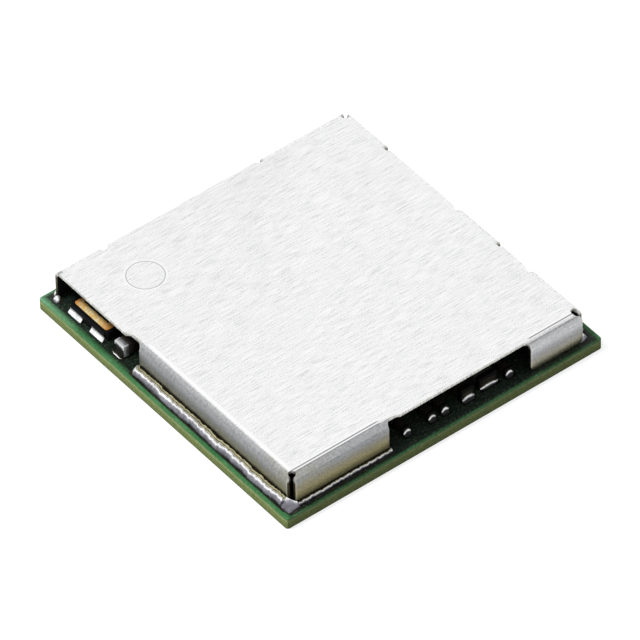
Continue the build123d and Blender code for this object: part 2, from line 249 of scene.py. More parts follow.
# each side from left to right as seen from outside; a flap gives its ends, stand-out and kinds of end, and an
# opening gives its ends, how far its free edge lies inside the wall's face, its notches, and each notch's root
sideRuns = {
    "front": [("open", -plateX, frontEnd, 0.04, 0, 0.63, plain, frontRoot),
        ("flap", frontEnd, plateX, 0, frontRoot, relief)],
    "right": [("flap", -plateY, rightEnds[0], 0, relief, rightRoot),
        ("open", *rightEnds, 0.15, 0.45, 0, rightRoot, standRoot),
        ("flap", rightEnds[1], plateY, shieldCan["standOut"], standRoot, relief)],
    "back": [("flap", -plateX, backEnds[0], 0, relief, hiddenRoot),
        ("open", *backEnds[:2], 0.15, 0.2, 0.2, hiddenRoot, hiddenRoot),
        ("flap", *backEnds[1:3], 0, hiddenRoot, hiddenRoot),
        ("open", *backEnds[2:], 0.15, 0.2, 0.2, hiddenRoot, hiddenRoot),
        ("flap", backEnds[3], plateX, 0, hiddenRoot, relief)],
    "left": [("flap", -plateY, leftEnds[0], 0, relief, hiddenRoot),
        ("open", *leftEnds, 0.13, 0.2, 0.2, hiddenRoot, hiddenRoot),
        ("flap", leftEnds[1], halfY - 0.04, 0, hiddenRoot, plain)],
}


def onSide(side, along, out, height):
    # a point of a side: along it from its middle, out from the can's outer face, and up
    turn, _, reach = canSides[side]
    a = np.radians(turn)
    x = np.cos(a) * (reach + out) - np.sin(a) * along
    y = np.sin(a) * (reach + out) + np.cos(a) * along
    return stacked(x, y, height)


def endShift(kind, s, total):
    # how far a flap's end lies inside its nominal end at each place s down the sheet: the relief hole's arc at a
    # corner and a slit that closes a little below it, or a root that flares out as the square of what is left of
    # its length, then the foot's round corner
    k = shieldCan
    if kind == relief:
        root = np.sqrt(np.clip(k["reliefHole"] ** 2 - s ** 2, 0, None))
        root = root - k["slitCloses"] * np.clip((s - k["reliefHole"]) / k["slitLead"], 0, 1)
    elif kind == plain:
        root = 0 * s
    else:
        floor, spread = kind
        root = -spread * np.clip(1 - np.clip(s - floor, 0, None) / k["flareLong"], 0, 1) ** 2
    over = np.clip(s - (total - k["flapCorner"]), 0, k["flapCorner"])
    return root + k["flapCorner"] - np.sqrt(np.clip(k["flapCorner"] ** 2 - over ** 2, 0, None))


def flapPatch(side, start, stop, out, startKind, stopKind):
    # s runs down the sheet from the bend's start: round a quarter circle, then straight to the foot
    k = shieldCan
    total = bendLong + wallHigh
    floors = [kind[0] for kind in (startKind, stopKind) if kind not in (relief, plain)]
    s = np.concatenate([
        np.linspace(0, bendLong, k["bendSteps"]),
        floors,
        np.linspace(bendLong, total - k["flapCorner"], k["wallSteps"]),
        total - k["flapCorner"] * np.cos(np.linspace(0, np.pi / 2, k["footSteps"])),
    ])
    s = np.unique(np.round(s, 6))
    turned = np.clip(s / bendRadius, 0, np.pi / 2)
    outwards = out + bendRadius * np.sin(turned) - bendRadius
    height = canTop - bendRadius * (1 - np.cos(turned)) - np.clip(s - bendLong, 0, None)
    first = (start + endShift(startKind, s, total))[:, None]
    last = (stop - endShift(stopKind, s, total))[:, None]
    along = first + (last - first) * np.linspace(0, 1, max(4, int((stop - start) / k["step"])))[None, :]
    points = onSide(side, along, outwards[:, None], height[:, None])
    unrolled = onSide(side, along, (s + out - bendRadius)[:, None], 0)[..., :2]
    nearest = np.minimum(along - first, last - along)
    values = np.concatenate([unrolled, stacked(nearest, s[:, None])], -1)
    rowOf = {kind: int(np.argmin(np.abs(s - (kind[0] if kind not in (relief, plain) else 0))))
        for kind in (startKind, stopKind)}
    # the plate's outline along this flap: up its start's root, along the bend's start, and down its stop's root
    rim = np.concatenate([points[rowOf[startKind]:0:-1, 0], points[0], points[1:rowOf[stopKind] + 1, -1]])
    return patch(points, gridFaces(*along.shape), values=values), rim


def freeEdge(side, start, stop, inset, startNotch, stopNotch, startKind, stopKind):
    # the plate's free edge: the notch's floor beside each flap, then a smooth step, 3 t t - 2 t t t, out to the edge
    k = shieldCan
    lead = np.linspace(0, 1, 9)
    step = lead * lead * (3 - 2 * lead)
    along, out = [], []
    for end, notch, kind, way in ((start, startNotch, startKind, 1), (stop, stopNotch, stopKind, -1)):
        if notch:
            rise = bendRadius - inset - kind[0]
            long = k["leadLeast"] + k["leadSlope"] * rise
            along.append(end + way * (notch + long * lead[::way]))
            out.append((kind[0] - bendRadius + rise * step)[::way])
        else:
            along.append([end + way * (0 if kind == plain else kind[1])])
            out.append([-inset])
    return onSide(side, np.concatenate(along), np.concatenate(out), canTop)


def shieldShape():
    patches, outline = [], []
    for side, runs in sideRuns.items():
        for kind, *run in runs:
            if kind == "flap":
                surface, rim = flapPatch(side, *run)
                patches.append(surface)
                outline.append(rim)
            else:
                outline.append(freeEdge(side, *run))
        if side != "left":
            # the relief hole's arc in the corner at this side's right-hand end
            turn = np.radians(np.linspace(180, 90, 9))
            reach = canSides[side][1] - bendRadius
            outline.append(onSide(side, reach + shieldCan["reliefHole"] * np.cos(turn),
                -bendRadius - shieldCan["reliefHole"] * np.sin(turn), canTop))
    edge = np.concatenate(outline)
    edge = edge[np.linalg.norm(edge - np.roll(edge, 1, axis=0), axis=1) > 1e-4]
    values = stacked(edge[:, 0], edge[:, 1], 1, 0)
    patches.append(patch(edge, rings=[np.arange(len(edge))], values=values))
    return joined(patches)


# the laser ring round pin one, each line as (distance from its middle, half its width), and where the walls' ramps
# start and stop, in millimetres past the bend's start
pinMark = {"at": (-4.26, -3.97, 0), "grey": (0.66, 0.018), "white": (0.72, 0.03)}
rampFrom, rampTo = -0.3, 1.35


def brushedSheet():
    # nickel silver sheet, belt brushed before it was folded: fine scratches that run one way and stay bright; the
    # folded walls carry painted shade that darkens them towards the foot, scuffs from the die, and an olive tint there
    material, add = newMaterial("brushed nickel silver", Metallic=1.0, Roughness=0.36, Anisotropic=0.3)
    flat = add("UVMap", uv_map="flat")
    fold, down = [add("SeparateXYZ", [add("UVMap", uv_map="fold")], axis) for axis in "XY"]
    x, y = [add("SeparateXYZ", [flat], axis) for axis in "XY"]
    # scratches 0.045 mm wide and about 1 mm long over finer pits
    streaks = add("TexNoise", [add("Mapping", [flat, (24, 1.2, 1)]), 1, 4, 0.8])
    pits = add("TexNoise", [flat, 34, 2, 0.7])
    fine = add("Mix FLOAT", [0.52, streaks, pits])
    patchy = add("TexNoise", [flat, 1.6, 3, 0.6])
    top = add("ValToRGB", [fine], stops=[(0.37, "#a3a5a7"), (0.43, "#d9dadb"), (0.49, "#f4f4f4"), (0.56, "#ffffff")])
    # the ring has a grey line and a white one outside it
    ringAt = add("VectorMath DISTANCE", [flat, pinMark["at"]])
    inner = add("COMPARE", [ringAt, *pinMark["grey"]])
    outer = add("COMPARE", [ringAt, *pinMark["white"]])
    top = add("Mix RGBA", [add("MULTIPLY", [inner, 0.55]), top, "#8f9193"])
    top = add("Mix RGBA", [add("MULTIPLY", [outer, 0.8]), top, "#fdfdfd"])
    # painted highlight lines along each bend and painted shade down each wall, by the distance past the bend's start,
    # from
    # 0.3 mm before it; they run in ramps from 0 to 1 over 1.65 mm
    waver = add("MULTIPLY", [add("SUBTRACT", [pits, 0.5]), 0.03])
    frontPast = add("ADD", [add("SUBTRACT", [-plateY, y]), waver])
    beyond = add("GREATER_THAN", [y, 3])
    stood = add("MapRange", [beyond, 0, 1, plateX, plateX + shieldCan["standOut"] + 0.06])
    rightPast = add("ADD", [add("SUBTRACT", [x, stood]), waver])
    # below the slit's neck each flap reaches past the corner, so the further of the two places tells which wall it is
    isFront = add("GREATER_THAN", [frontPast, add("MAXIMUM", [rightPast, 0.002])])
    isRight = add("GREATER_THAN", [x, plateX + 0.002])
    hiddenPast = add("Mix FLOAT", [isRight, down, rightPast])
    frontAt, rightAt, sideAt = [add("MapRange", [past, rampFrom, rampTo])
        for past in (frontPast, rightPast, hiddenPast)]
    frontStops = [(0.182, "#f3f3f3"), (0.194, "#ededed"), (0.203, "#d6d6d7"), (0.222, "#bdbebf"), (0.24, "#b2b3b4"),
        (0.262, "#b6b7b8"), (0.3, "#a8a9ab"), (0.335, "#9a9b9d"), (0.38, "#909193"), (0.45, "#8b8c8e"),
        (0.54, "#808081"), (0.64, "#7d7d78"), (0.73, "#8a8a80"), (1, "#5b594f")]
    sideStops = [(0.18, "#9c9d9e"), (0.188, "#949596"), (0.205, "#a6a7a8"), (0.218, "#b2b3b4"), (0.236, "#9a9b9c"),
        (0.254, "#b0b1b2"), (0.272, "#a0a1a3"), (0.3, "#a8a9aa"), (0.333, "#a0a1a3"), (0.362, "#87888a"),
        (0.45, "#858686"), (0.545, "#807d73"), (0.636, "#857f6b"), (0.727, "#8f8664"), (0.818, "#8a8260"),
        (0.909, "#958e6e"), (1, "#8a8468")]
    frontWall = add("ValToRGB", [frontAt], stops=frontStops)
    sideWall = add("ValToRGB", [sideAt], stops=sideStops)
    # the right side's last flap stands out; its ramp is lighter, with its own painted bend highlight and painted shade
    lastWall = add("ValToRGB", [sideAt], stops=[(0.18, "#dadada"), (0.2, "#bdbdbe"), (0.218, "#8f9091"),
        (0.242, "#a5a6a7"), (0.272, "#b3b4b5"), (0.333, "#b5b6b7"), (0.45, "#aeafb0"), (0.545, "#98999b"),
        (0.636, "#908f8d"), (0.727, "#95938a"), (0.818, "#9d9a88"), (0.909, "#a29f88"), (1, "#87846c")])
    sideWall = add("Mix RGBA", [beyond, sideWall, lastWall])
    # the left and back bends have no painted highlight line, and are painted light at their start
    elsewhere = add("SUBTRACT", [1, add("MAXIMUM", [isRight, isFront])])
    plainBendHighlight = add("MapRange", [down, 0.12, 0.24, 1, 0])
    sideWall = add("Mix RGBA", [add("MULTIPLY", [elsewhere, plainBendHighlight]), sideWall, "#ececec"])
    wall = add("Mix RGBA", [isFront, sideWall, frontWall])
    # olive stain in uneven patches over the lower half, thicker towards the front corner: part flux, part painted
    # reflection of the board's mask and the solder
    low = add("MapRange", [down, 0.35, 1.2, -0.35, 0.3])
    corner = add("VectorMath DISTANCE", [flat, (halfX, -halfY, 0)])
    thicker = add("MapRange", [corner, 0.5, 5, 0.55, 0])
    stainAndReflection = add("ADD", [low, add("SUBTRACT", [patchy, 0.5])])
    stainAndReflection = add("ADD", [stainAndReflection, thicker], use_clamp=True)
    clean = add("MapRange", [y, 2, 3.5, 1, 0.35])
    stainAndReflection = add("MULTIPLY", [stainAndReflection, clean])
    wall = add("Mix RGBA", [stainAndReflection, wall, "#8b8663"])
    scuffs = add("TexNoise", [flat, 11, 4, 0.75])
    rubbed = add("Mix FLOAT", [0.4, fine, scuffs])
    grainy = add("MapRange", [rubbed, 0.38, 0.6, 0.62, 1.38])
    wall = add("VectorMath SCALE", [wall, grainy])
    # burnished strip down each flap's cut ends
    strip = add("MapRange", [fold, 0.09, 0.03, 0, 0.22])
    wall = add("Mix RGBA", [strip, wall, "#c4c4bb"])
    # on the plate the painted highlight lines of the bends lie only beside a flap
    frontBendHighlight = add("ValToRGB", [frontAt], stops=[(0, "#000000"), (0.095, "#000000"), (0.11, "#ffffff"),
        (1, "#ffffff")])
    besideFront = add("MapRange", [x, -1.62, -1.5])
    frontBendHighlight = add("MULTIPLY", [frontBendHighlight, besideFront])
    top = add("Mix RGBA", [frontBendHighlight, top, "#fdfdfd"])
    rightBendHighlight = add("ValToRGB", [rightAt], stops=[(0, "#eeeeee"), (0.04, "#f8f8f8"), (0.085, "#ffffff"),
        (0.093, "#c7c7c8"), (0.104, "#8b8c8e"), (0.118, "#97989a"), (0.13, "#ececec"), (0.142, "#ffffff"),
        (0.154, "#f4f4f4"), (0.166, "#989a9c"), (0.188, "#848688")])
    within = add("GREATER_THAN", [rightPast, -0.22])
    besideRight = add("MapRange", [y, -2.23, -2.38])
    besideLast = add("MapRange", [y, 3.88, 4.02])
    beside = add("MAXIMUM", [besideRight, besideLast])
    rightMask = add("MULTIPLY", [within, beside])
    top = add("Mix RGBA", [rightMask, top, rightBendHighlight])
    isWall = add("GREATER_THAN", [down, 0.001])
    rough = add("MapRange", [fine, 0.3, 0.7, 0.42, 0.32])
    return finished(material, add("Mix RGBA", [isWall, top, wall]), fine, 0.003, 0.3, Roughness=rough)


def shearedEdge():
    # the sheet's cut face: matt, a little warm, with the die's short drag marks across it, and darker brown
    # below the plate
    material, add = newMaterial("sheared edge", Metallic=1.0, Roughness=0.5)
    place = millimetres(add)
    grain = add("TexNoise", [add("Mapping", [place, (16, 16, 3)]), 1, 2])
    bare = add("ValToRGB", [grain], stops=[(0.3, "#a6a5a0"), (0.55, "#d2d1cc"), (0.75, "#ebeae6")])
    brown = add("ValToRGB", [grain], stops=[(0.3, "#2c271c"), (0.55, "#4c4535"), (0.75, "#6a624e")])
    up = add("MapRange", [add("SeparateXYZ", [place], "Z"), canTop - 0.28, canTop - 0.12])
    return finished(material, add("Mix RGBA", [up, brown, bare]), grain, 0.006, 0.5)


def paintedShadeInside():
    # the can's inner face: the same sheet, unlit, given a near-black colour as painted shade
    material, add = newMaterial("inner face in painted shade", Roughness=0.75, Specular_IOR_Level=0.1)
    grain = add("TexNoise", [millimetres(add), 9, 3, 0.6])
    return finished(material, add("ValToRGB", [grain], stops=[(0.3, "#0a0a09"), (0.7, "#1a1916")]), grain, 0.01, 0.3)


shield = newPiece("foldedShield", shieldShape(), [brushedSheet(), shearedEdge(), paintedShadeInside()], ["flat", "fold"])
for kind, settings in {
    "SOLIDIFY": {"thickness": shieldCan["sheet"] * mm, "offset": -1, "use_even_offset": True, "material_offset": 2,
        "material_offset_rim": 1},
    "BEVEL": {"width": shieldCan["arris"] * mm, "segments": 2, "limit_method": "ANGLE", "angle_limit": np.radians(50)},
}.items():
    modifier = shield.modifiers.new(kind.lower(), kind)
    for name, value in settings.items():
        setattr(modifier, name, value)
applied(shield)
placed(shield, "shield_can")


# the board: a laminate with solder mask over both faces

board = {"corner": 0.12, "arris": 0.02, "underside": 0.004, "cornerSteps": 6, "fibreLayer": 0.11}
boardLow, boardHigh = boxOf("circuit_board")
boardTop = boardHigh[2]


def paintedShadeUnderCan(add, place, near, far, least, turnedIn):
    # 1 outside the can, falling to its least between two depths in from its outline, in millimetres: painted shade
    # for what lies under the can; the other sides count as deeper than the front by turnedIn
    x, y = [add("SeparateXYZ", [place], axis) for axis in "XY"]
    front = add("ADD", [y, halfY])
    left = add("ADD", [x, halfX])
    right = add("SUBTRACT", [halfX + turnedIn, x])
    back = add("SUBTRACT", [halfY + turnedIn, y])
    depth = add("MINIMUM", [add("MINIMUM", [front, left]), add("MINIMUM", [right, back])])
    return add("MapRange", [depth, near, far, 1, least])


def boardShape():
    # a rounded rectangle, drawn in at its upper and lower edge by a small arris, with flat faces between
    k = board
    turn, signX, signY = cornerTurns(k["cornerSteps"])
    edge = k["arris"]
    drawn = edge * np.array([2.2, 0.8, 0, 0, 0.8, 2.2])[:, None]
    height = np.array([boardTop, boardTop - edge * 0.3, boardTop - edge * 1.6, edge, edge * 0.4, k["underside"]])
    radius = k["corner"] - drawn
    x = signX * (boardHigh[0] - k["corner"]) + radius * np.cos(turn)
    y = signY * (boardHigh[1] - k["corner"]) + radius * np.sin(turn)
    return joined([closedGrid(stacked(x, y, height[:, None]))])


def maskedLaminate():
    # glass laminate, routed to size, under a satin green solder mask: layers of glass cloth show along the edge
    # as olive lines with amber ends of yarn
    material, add = newMaterial("masked glass laminate", Specular_IOR_Level=0.15)
    place = millimetres(add)
    height = add("SeparateXYZ", [place], "Z")
    cloud = add("TexNoise", [place, 1.1, 3])
    grain = add("TexNoise", [place, 11, 3, 0.6])
    mask = add("ValToRGB", [cloud], stops=[(0.3, "#3f7a49"), (0.5, "#4f8856"), (0.7, "#639666")])
    # painted light: paler by the left corner
    fromLeft = add("VectorMath DISTANCE", [place, (boardLow[0], boardLow[1], boardTop)])
    leftCornerLight = add("MapRange", [fromLeft, 0.3, 2.2, 0.6, 0])
    mask = add("Mix RGBA", [leftCornerLight, mask, "#8cc79b"])
    flecks = add("MapRange", [grain, 0.3, 0.7, 0.72, 1.28])
    mask = add("VectorMath SCALE", [mask, flecks])
    # painted shade: near black under the can and close to it, with grey specks
    underCanShade = add("ValToRGB", [grain], stops=[(0.38, "#0b0c0b"), (0.52, "#191b19"), (0.6, "#2b302b"), (0.72, "#4a524b")])
    mask = add("Mix RGBA", [paintedShadeUnderCan(add, place, -0.38, -0.18, 0.04, 0.05), underCanShade, mask])
    # yarn ends about 0.3 mm long in layers 0.11 mm apart
    yarn = add("TexNoise", [add("Mapping", [place, (3.5, 3.5, 1 / board["fibreLayer"])]), 1, 3, 0.65])
    up = add("MapRange", [height, 0, boardTop])
    # up the edge: painted shade along its foot and a painted highlight along its upper arris, olive between
    edge = add("ValToRGB", [up], stops=[(0, "#1c1d0c"), (0.07, "#3d4120"), (0.12, "#7c8758"), (0.3, "#818e57"),
        (0.5, "#84935a"), (0.66, "#8f9f68"), (0.74, "#a0b47f"), (0.82, "#9fb782"), (0.9, "#7d9c6a"),
        (0.96, "#5d8b57")])
    amber = add("ValToRGB", [yarn], stops=[(0.3, "#747f42"), (0.5, "#869459"), (0.64, "#989457"), (0.78, "#ab9355")])
    edge = add("Mix RGBA", [0.3, edge, amber])
    edge = add("VectorMath SCALE", [edge, flecks])
    # the right edge faces away from the key lamp, and is painted darker as shade
    rightEdgeShade = add("GREATER_THAN", [add("SeparateXYZ", [place], "X"), boardHigh[0] - 0.03])
    rightEdgeShade = add("MapRange", [rightEdgeShade, 0, 1, 1.06, 0.54])
    edge = add("VectorMath SCALE", [edge, rightEdgeShade])
    above = add("GREATER_THAN", [height, boardTop - 0.02])
    below = add("LESS_THAN", [height, 0.012])
    masked = add("MAXIMUM", [above, below])
    rough = add("MapRange", [masked, 0, 1, 0.75, 0.45])
    return finished(material, add("Mix RGBA", [masked, edge, mask]), grain, 0.006, 0.4, Roughness=rough)


laminate = newPiece("laminateBoard", boardShape(), [maskedLaminate()])
placed(laminate, "circuit_board")


# solder that holds the can: a bead along each flap, a heap in three corners and a wedge in the front one

padTop = boxOf("shield_pads")[1][2]
# spread, climb, how far the bands stray and how tight they lie, for the beads that the photo doesn't show
hiddenBead = (0.16, 0.22, 0.05, 1.2)
beads = {
    # start, stop, whether each end is round, and those four
    "front": [(frontEnd, plateX, True, False, 0.28, 0.36, 0.02, 1.0)],
    "right": [(-plateY, rightEnds[0], False, True, 0.14, 0.15, 0.1, 2.0)],
    "back": [(-plateX, backEnds[0], False, True, *hiddenBead), (*backEnds[1:3], True, True, *hiddenBead),
        (backEnds[3], plateX, True, False, *hiddenBead)],
    "left": [(-plateY, leftEnds[0], False, True, *hiddenBead), (leftEnds[1], halfY - 0.1, True, True, *hiddenBead)],
}
beadForm = {"step": 0.03, "steps": 18, "lump": 0.06, "ripple": 0.012}


def beadPatch(side, start, stop, roundStart, roundStop, spread, climb, stray, tight, shift):
    # across the bead, a quarter ellipse from the wall at its climb to the board at its spread; along it, both
    # swell and shrink with four waves of different length, and a free end closes as a quarter circle does
    k = beadForm
    begin = start - (0.75 * spread if roundStart else 0)
    end = stop + (0.75 * spread if roundStop else 0)
    along = np.linspace(begin, end, int((end - begin) / k["step"]))
    nearStart = np.clip((along - begin) / spread, 0, 1) if roundStart else 1 + 0 * along
    nearStop = np.clip((end - along) / spread, 0, 1) if roundStop else 1 + 0 * along
    close = np.sqrt(1 - (1 - nearStart) ** 2) * np.sqrt(1 - (1 - nearStop) ** 2)
    way = 2 * np.pi * along
    wave = k["lump"] * np.sin(way / 2.3 + 1.1 + shift) + k["lump"] * 0.6 * np.sin(way / 0.91 + 2.2 + shift)
    small = k["ripple"] * np.sin(way / 0.37 + shift) + k["ripple"] * 0.7 * np.sin(way / 0.23 + 0.7)
    wide = (spread * close * (1 + wave + small))[:, None]
    high = (climb * (0.25 + 0.75 * close) * close ** 0.3 * (1 - 0.7 * wave + small))[:, None]
    turn = np.linspace(0, np.pi / 2, k["steps"])
    across = np.concatenate([np.sin(turn) ** 1.15, [0.5, 0, 0]])
    up = np.concatenate([np.cos(turn) ** 0.9, [0, 0, 0.5]])
    place = np.concatenate([turn / (np.pi / 2), [1, 1, 0]])[None, :]
    # its bands stray in short waves, and a round end is painted as a white highlight all over, short of its foot
    dashes = stray * (np.sin(way / 0.3 + shift) + 0.7 * np.sin(way / 0.17))[:, None]
    place = 0.52 + (place - 0.52) * tight
    roundEndHighlight = np.clip(1.7 * (1 - nearStart * nearStop), 0, 1)[:, None]
    place = place + (0.5 - place) * roundEndHighlight * (place < 0.9) + dashes * (1 - roundEndHighlight) * (place > 0.1) * (place < 0.95)
    out = 0.002 + wide * across
    points = onSide(side, along[:, None], out, padTop + high * up)
    values = stacked(along[:, None] + shift, np.clip(place, 0, 1))
    # columns run down the bead, so the grid is turned to make its faces look outwards
    return closedGrid(points, values, flip=True)


def solderFinish(name, waver, stops):
    # tin solder, reflowed and cooled in air, painted in bands: a painted white highlight where it crowns, a dull grey
    # skirt over the pad, and a painted dark shade line where it wets the wall
    material, add = newMaterial(name, Metallic=0.5, Roughness=0.3, Specular_IOR_Level=0.1)
    across = add("SeparateXYZ", [add("UVMap", uv_map="bead")], "Y")
    place = millimetres(add)
    lumps = add("TexNoise", [place, 2.2, 2])
    grain = add("TexNoise", [place, 13, 2])
    sway = add("MULTIPLY", [add("SUBTRACT", [lumps, 0.5]), waver])
    fray = add("MULTIPLY", [add("SUBTRACT", [grain, 0.5]), waver * 0.3])
    at = add("ADD", [add("ADD", [across, sway]), fray], use_clamp=True)
    bands = add("ValToRGB", [at], stops=stops)
    clots = add("TexNoise", [place, 5, 3, 0.7])
    tone = add("MapRange", [clots, 0.36, 0.58, 0.72, 1.3])
    return finished(material, add("VectorMath SCALE", [bands, tone]), lumps, 0.02, 0.4)


solder = solderFinish("reflowed solder", 0.22, [
    (0, "#12110d"), (0.05, "#1b1912"), (0.16, "#2a281c"), (0.19, "#a9a47e"), (0.25, "#c4be98"), (0.28, "#8f8a6c"),
    (0.3, "#4a4632"), (0.33, "#4e4a38"), (0.35, "#b5b19a"), (0.4, "#b9b6a6"), (0.43, "#77756c"), (0.46, "#f4f4f4"),
    (0.49, "#ffffff"), (0.56, "#ffffff"), (0.6, "#b5b3ba"), (0.67, "#8b8991"), (0.82, "#7c7a82"), (0.93, "#6c6a71"),
    (0.97, "#353336"), (1, "#1c1b1c")])
seams = joined([beadPatch(side, *bead, 1.7 * turn + 0.6 * i)
    for turn, side in enumerate(beads) for i, bead in enumerate(beads[side])])
placed(newPiece("seamBeads", seams, [solder], ["bead"]), "shield_seam_solder")

# each heap: where it stands, the way it faces, its reach outwards and to its sides, its rise, and its crown's band,
# where 0.5 is the painted white highlight
heaps = [((6.12, 5.97), 45, 0.36, 0.26, 0.2, 0.5), ((-6.11, 5.96), 135, 0.34, 0.26, 0.17, 0.5),
    ((-6.17, -6.21), -135, 0.18, 0.17, 0.17, 0.5)]
cornerWedge = {
    # its upper edge against the can and its foot on the pad, from the front bead to the right one
    "upper": [(5.98, -6.212, 0.82), (6.14, -6.205, 0.8), (6.28, -6.13, 0.76), (6.355, -6.0, 0.66),
        (6.362, -5.84, 0.6)],
    "foot": [(5.98, -6.46, 0), (6.32, -6.47, 0), (6.58, -6.43, 0), (6.52, -6.14, 0), (6.49, -5.84, 0)],
    "steps": 30, "rise": 12,
}


def heapPatch(spot, facing, reach, beside, rise, crown):
    # a low mound: its foot is a circle pulled out towards the corner, and it rises as (1 - r r) to the power 0.8
    turn = np.linspace(0, 2 * np.pi, 40, endpoint=False)
    forward = np.clip(np.cos(turn), 0, None)
    foot = beside * 0.5 + (reach - beside * 0.5) * forward ** 1.4 + beside * 0.42 * np.abs(np.sin(turn)) ** 2
    r = np.linspace(0, 1, 14)[:, None]
    wave = 1 + 0.05 * np.sin(5 * turn + 1) + 0.03 * np.sin(11 * turn)
    x = spot[0] + r * foot * wave * np.cos(turn + np.radians(facing))
    y = spot[1] + r * foot * wave * np.sin(turn + np.radians(facing))
    z = padTop + rise * (1 - r * r) ** 0.8 + 0 * turn
    values = stacked(turn, crown + (0.97 - crown) * r ** 7)
    return closedGrid(stacked(x, y, z), values)


def wedgePatch():
    # straight lines from the upper edge to the foot, a little full; both edges are rounded by averaging
    k = cornerWedge
    v = np.linspace(0, 1, k["steps"])
    upper, foot = [np.stack([np.interp(v, np.linspace(0, 1, 5), [c[axis] for c in k[edge]]) for axis in range(3)], -1)
        for edge in ("upper", "foot")]
    for curve in (upper, foot):
        for _ in range(4):
            curve[1:-1] = (curve[:-2] + 2 * curve[1:-1] + curve[2:]) / 4
    t = np.linspace(0, 1, k["rise"])
    spot = upper[:, None, :2] + (foot - upper)[:, None, :2] * t[None, :, None]
    height = padTop + (upper[:, None, 2] - padTop) * (1 - t[None, :]) ** 0.85
    face = np.concatenate([spot, height[..., None]], -1)
    inside = stacked(upper[:, 0], upper[:, 1], padTop)[:, None]
    points = np.concatenate([face, inside], 1)
    middle = np.sin(np.pi * v)[:, None] ** 0.5
    place = (1 - middle) * t + middle * (0.6 + 0.38 * t)
    values = stacked(v[:, None], np.concatenate([place, np.ones((len(v), 1))], 1))
    return closedGrid(points, values, flip=True)


cornerSolder = newPiece("cornerHeaps", joined([heapPatch(*heap) for heap in heaps] + [wedgePatch()]), [solder],
    ["bead"])
placed(cornerSolder, "shield_corner_solder")

# the tinned pads that the solder stands on
canPads = {"skirt": 0.035, "round": 0.07, "behind": 0.14, "arris": 0.006, "cornerSpread": [
    (6.29, -6.19, 0.33, 0.27), (6.24, 6.08, 0.28, 0.22), (-6.2, 6.05, 0.24, 0.24), (-6.19, -6.22, 0.2, 0.2)]}


def padPatch(outline, lift):
    # a slab of tinned copper, drawn in a little at its top
    turned = np.sum(outline[:, 0] * np.roll(outline[:, 1], -1) - outline[:, 1] * np.roll(outline[:, 0], -1))
    outline = outline if turned > 0 else outline[::-1]
    tangent = np.roll(outline, -1, axis=0) - np.roll(outline, 1, axis=0)
    normal = stacked(tangent[:, 1], -tangent[:, 0]) / np.linalg.norm(tangent, axis=1)[:, None]
    rows = [(outline - canPads["arris"] * normal, padTop - lift), (outline, padTop - lift - canPads["arris"]),
        (outline, boardTop)]
    return closedGrid(np.stack([stacked(xy[:, 0], xy[:, 1], z) for xy, z in rows]))


def padShapes():
    # a rounded strip under each bead, and an oval under each corner
    k = canPads
    turn, signA, signB = cornerTurns(7)
    slabs = []
    for side, runs in beads.items():
        for start, stop, _, _, spread, *_ in runs:
            half = (stop - start) / 2 + spread * 0.75 + k["skirt"] - k["round"]
            deep = (spread + k["skirt"] + k["behind"]) / 2 - k["round"]
            along = (start + stop) / 2 + signA * half + k["round"] * np.cos(turn)
            out = (spread + k["skirt"] - k["behind"]) / 2 + signB * deep + k["round"] * np.sin(turn)
            slabs.append(padPatch(onSide(side, along, out, 0)[:, :2], 0.001))
    around = np.linspace(0, 2 * np.pi, 40, endpoint=False)
    for x, y, wide, deep in k["cornerSpread"]:
        slabs.append(padPatch(stacked(x + wide * np.cos(around), y + deep * np.sin(around)), 0.002))
    return joined(slabs)


# chip parts under the can: fired blocks with plated cups on both ends, and a solder fillet at each cup

chipKinds = {
    # its slot, length, width, height, cup's length, and each part's place and turn
    "large_capacitor": ("tan_ceramic", 1, 0.5, 0.48, 0.24, [
        (-2.85, -5.7, 90), (5.6, 1.4, 0), (-4.5, -2, 0), (-4.5, -3.1, 0), (-4.5, 3.6, 0)]),
    "small_capacitor": ("tan_ceramic", 0.6, 0.3, 0.3, 0.14, [
        (5.8, -1.17, 0), (5.8, -0.12, 0), (5.8, 0.43, 0), (5.8, 3.15, 0),
        *[(x, y, 90) for y in (-3.1, 3.3) for x in (-2, -1, 0, 1)]]),
    "resistor": ("black_ceramic", 0.6, 0.3, 0.23, 0.14, [
        (-1.6, -4.6, 90), (-0.8, -4.6, 90), (0, -4.6, 90), (2, 4.6, 90), (1.2, 4.6, 90)]),
    "small_inductor": ("ferrite", 0.6, 0.3, 0.33, 0.16, [(3.3, -2.2, 90), (4.1, -2.2, 90), (3.25, 2.6, 0)]),
    "power_inductor": ("ferrite", 2, 1.6, 0.9, 0.4, [(-4.5, 0.6, 90)]),
    "antenna_filter": ("white_ceramic", 1.4, 0.75, 0.42, 0.22, [(5.3, 2.35, 0)]),
}


def roundedBox(size, low, radius, steps=3):
    # a ball's grid split into eight parts that are moved apart to the box's corners, with its top and bottom closed
    rise = np.concatenate([np.linspace(np.pi / 2, 0, steps + 1), np.linspace(0, -np.pi / 2, steps + 1)])[:, None]
    part = np.repeat([0, 1, 2, 3], steps + 1)
    turn = np.tile(np.linspace(0, np.pi / 2, steps + 1), 4) + part * np.pi / 2
    half = np.array(size) / 2 - radius
    x = radius * np.cos(rise) * np.cos(turn) + half[0] * np.array([1, -1, -1, 1])[part]
    y = radius * np.cos(rise) * np.sin(turn) + half[1] * np.array([1, 1, -1, -1])[part]
    z = radius * np.sin(rise) + half[2] * np.repeat([1, -1], steps + 1)[:, None] + low + size[2] / 2 + 0 * turn
    return closedGrid(stacked(x, y, z))


